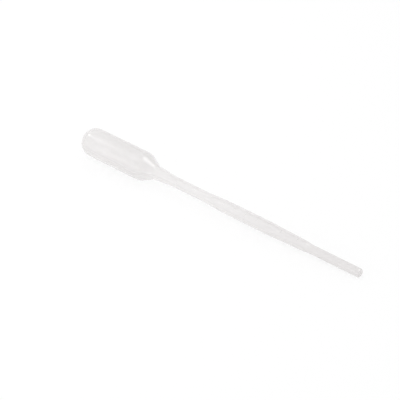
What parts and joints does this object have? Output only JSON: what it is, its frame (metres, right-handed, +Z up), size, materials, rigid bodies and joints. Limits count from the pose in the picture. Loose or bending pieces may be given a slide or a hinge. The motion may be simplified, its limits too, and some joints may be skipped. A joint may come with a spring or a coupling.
{
  "type": "plastic dropper pipette",
  "caption": "Thin-walled squeeze dropper with a round-ended cylindrical bulb, a slim graduated stem that swells and tapers, and a narrow straight tip with a fine bore.",
  "frame": {"origin": "on the surface that the pipette lies on, under the middle of its length and width", "axes": "+X from the bulb to the tip, along the pipette as seen from above; +Z up from the surface; the pipette's own axis dips 2.4 degrees towards the tip"},
  "size_m": [0.155, 0.014, 0.0152],
  "materials": {
    "polyethylene": "natural low-density polyethylene, milky and translucent, with a soft sheen"
  },
  "bodies": {
    "root": {"pipette": "polyethylene"}
  },
  "joints": []
}
